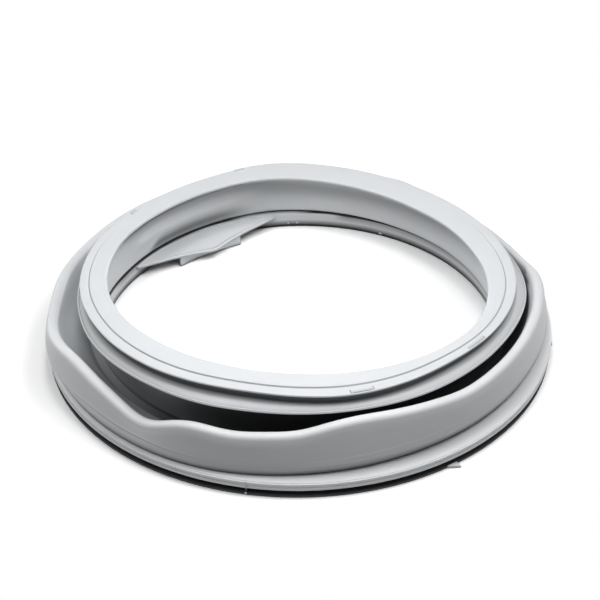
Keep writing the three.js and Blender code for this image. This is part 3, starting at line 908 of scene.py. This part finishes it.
# Painted highlights lighten the tone; painted shade darkens the colour to near black.
painted_light = 0.7 * hairline_highlight + 0.4 * crease_highlight + 0.75 * painted_highlight
tone_and_highlight = (0.35 * drift + 0.2 * smear + 0.12 * grain + 0.22 * streak - 0.1 + painted_light).clip()
painted_darkness = 0.97 * (shaded + 0.45 * crease_groove_and_shade + 0.16 * low_line_shade).clip()
grey = rubber.blend(tone_and_highlight, DARKER_GREY, PALER_GREY)
rubber.feed("Base Color", rubber.blend(painted_darkness, grey, SHADE_BLACK))
rubber.feed("Roughness", (0.42 + 0.14 * smear + 0.5 * shaded).clip())
relief = 0.7 * grain + 0.6 * smear - 3.0 * crease_groove_and_shade
rubber.feed("Normal", rubber.node("ShaderNodeBump", Height=relief, Strength=0.12, Distance=0.0006))
for piece in (skin, flap, apron, *marks):
    piece.data.materials.append(rubber.material)
print("rubber nodes:", len(rubber.tree.nodes))

# %% [markdown]
# ## Floor and light
# The seal lies on a pale floor that the camera sees as white, with only the
# dark line of its own shadow. More light would bleach the rubber, so the floor
# is brighter for the camera alone, and turns into plain white away from the
# seal. The light that it throws back on the rubber stays that of a grey floor.

# %% Floor
FLOOR_HALF = 6.0
BOUNCE_GREY, SEEN_WHITE = (0.6, 0.6, 0.6, 1), (1.35, 1.35, 1.35, 1)
WHITE_FROM, WHITE_RATE = 0.2, 11.0  # radius in metres, and how fast it turns white


def seen_directly(tree):
    """1 for camera, glossy and transmission rays, 0 for the light that falls on the rubber."""
    paths = tree.nodes.new("ShaderNodeLightPath")
    kinds = ("Is Camera Ray", "Is Glossy Ray", "Is Transmission Ray")
    return sum(Value(tree, paths.outputs[kind]) for kind in kinds).clip()


floor_mesh = bpy.data.meshes.new("floor")
floor_corners = [(-FLOOR_HALF, -FLOOR_HALF, 0), (FLOOR_HALF, -FLOOR_HALF, 0),
                 (FLOOR_HALF, FLOOR_HALF, 0), (-FLOOR_HALF, FLOOR_HALF, 0)]
floor_mesh.from_pydata(floor_corners, [], [(0, 1, 2, 3)])
floor = bpy.data.objects.new("floor", floor_mesh)
bpy.context.scene.collection.objects.link(floor)

pale = Finish("pale_floor")
seen = seen_directly(pale.tree)
floor_x, floor_y = pale.split(pale.node("ShaderNodeTexCoord", output=3))[:2]
distance = (floor_x * floor_x + floor_y * floor_y).root()
matt = pale.node("ShaderNodeBsdfDiffuse", Color=pale.blend(seen, BOUNCE_GREY, SEEN_WHITE))
white = pale.node("ShaderNodeEmission")
both = pale.tree.nodes.new("ShaderNodeMixShader")
for slot, item in enumerate((seen * ((distance - WHITE_FROM) * WHITE_RATE).clip(), matt, white)):
    plug(pale.tree, both.inputs[slot], item)
plug(pale.tree, pale.surface, Value(pale.tree, both.outputs[0]))
floor.data.materials.append(pale.material)
print("floor", 2 * FLOOR_HALF, "m wide")

# %% [markdown]
# A small lamp overhead makes the lip bright. Softer ones in front shape the
# outer wall, two wide ones at the right and the rear left light the far wall,
# and a weak one low inside lifts its shade. The world is nearly black for the
# rubber and white for the camera.

# %% Lamps and world
AIM = np.array([0.0, 0.0, 0.03])
AMBIENT = 0.02


def soft_lamp(name, place, size, power):
    """A square lamp of the given size in metres that faces the middle of the seal."""
    lamp = bpy.data.objects.new(name, bpy.data.lights.new(name, "AREA"))
    lamp.data.shape = "SQUARE"
    lamp.data.size = size
    lamp.data.energy = power
    lamp.location = place
    direction = AIM - np.array(place)
    flat = math.hypot(direction[0], direction[1])
    heading = math.atan2(direction[1], direction[0]) - math.pi / 2
    lamp.rotation_euler = (math.atan2(flat, -direction[2]), 0.0, heading)
    bpy.context.scene.collection.objects.link(lamp)


soft_lamp("overhead", (0.0, 0.0, 1.6), 0.3, 4.6)
soft_lamp("front left", (-0.5, -0.4, 1.0), 0.5, 3.8)
soft_lamp("front right", (0.5, -0.4, 1.0), 0.5, 2.3)
soft_lamp("right", (0.8, 0.0, 1.4), 0.8, 9.4)
soft_lamp("rear left", (-1.4, 1.2, 0.6), 0.9, 10.0)
soft_lamp("inside", (0.0, -0.05, 0.28), 0.12, 0.2)

world = bpy.data.worlds.new("studio")
bpy.context.scene.world = world
world.use_nodes = True
sky = world.node_tree.nodes["Background"]
sky.inputs["Color"].default_value = (1, 1, 1, 1)
brightness = AMBIENT + (1.0 - AMBIENT) * seen_directly(world.node_tree)
plug(world.node_tree, sky.inputs["Strength"], brightness)
bpy.context.scene.view_settings.view_transform = "Standard"
